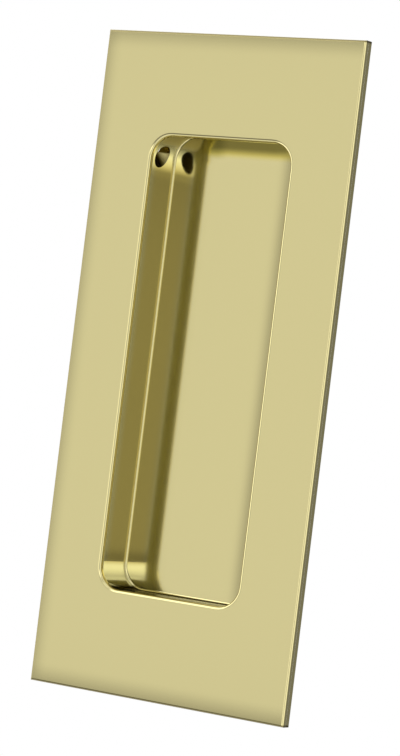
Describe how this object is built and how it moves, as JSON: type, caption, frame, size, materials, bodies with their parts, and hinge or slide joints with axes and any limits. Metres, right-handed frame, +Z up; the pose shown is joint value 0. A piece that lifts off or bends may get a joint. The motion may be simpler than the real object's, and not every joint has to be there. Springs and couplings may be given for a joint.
{
  "type": "pocket door pull",
  "caption": "Rectangular flush pull for a pocket door: flat plate, deep round-cornered finger recess with a grip lip, slanted concealed screw holes.",
  "frame": {"origin": "middle of the plate's back face plane, on the centre line of the recess: the point where the pull's axis crosses the door's surface", "axes": "+Z up along the plate, +Y into the door, +X to the right as one faces the door; the front faces -Y"},
  "size_m": [0.0636, 0.0134, 0.1396],
  "materials": {
    "polished_brass": "polished"
  },
  "bodies": {
    "root": {"door_pull": "polished_brass"}
  },
  "joints": []
}
